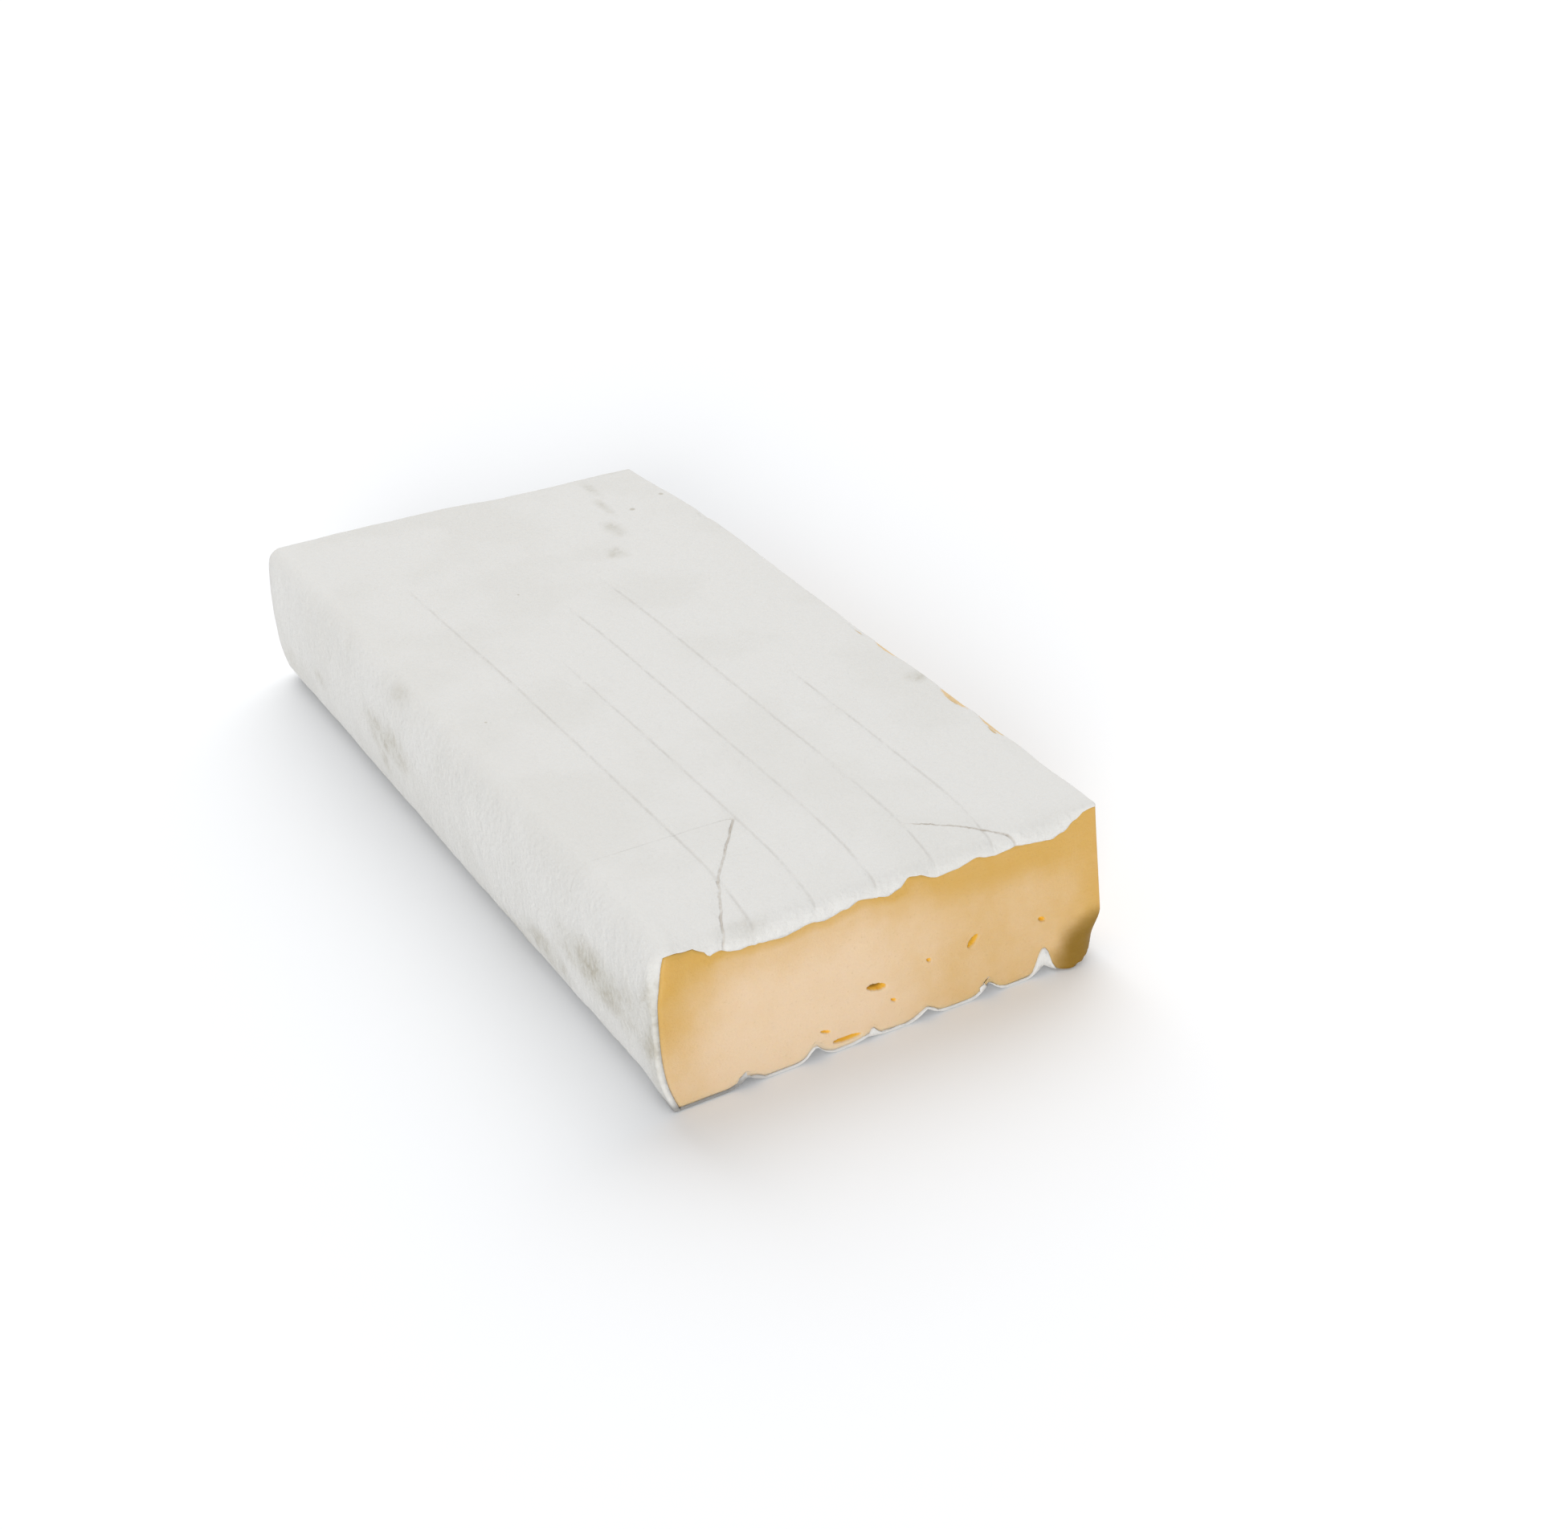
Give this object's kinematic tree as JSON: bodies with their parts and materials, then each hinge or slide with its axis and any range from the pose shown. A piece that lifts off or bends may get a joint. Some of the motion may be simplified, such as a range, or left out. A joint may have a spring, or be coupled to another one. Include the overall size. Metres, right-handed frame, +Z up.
{
  "type": "brie block",
  "caption": "Half of a rectangular soft-ripened cheese with a white rind, opened by a knife along its front end and its right side.",
  "frame": {"origin": "on the surface that the cheese rests on, under the middle of its outline", "axes": "+Z up, +Y along the length towards the end that still has its rind, +X towards the cut long side"},
  "size_m": [0.1184, 0.2338, 0.0402],
  "materials": {
    "rind": "dry, velvety white mould rind, faintly lined by the draining mat",
    "paste": "soft, slightly moist cut paste, pale cream in the middle and golden near the rind"
  },
  "bodies": {
    "root": {"brie_block": "rind"}
  },
  "joints": []
}
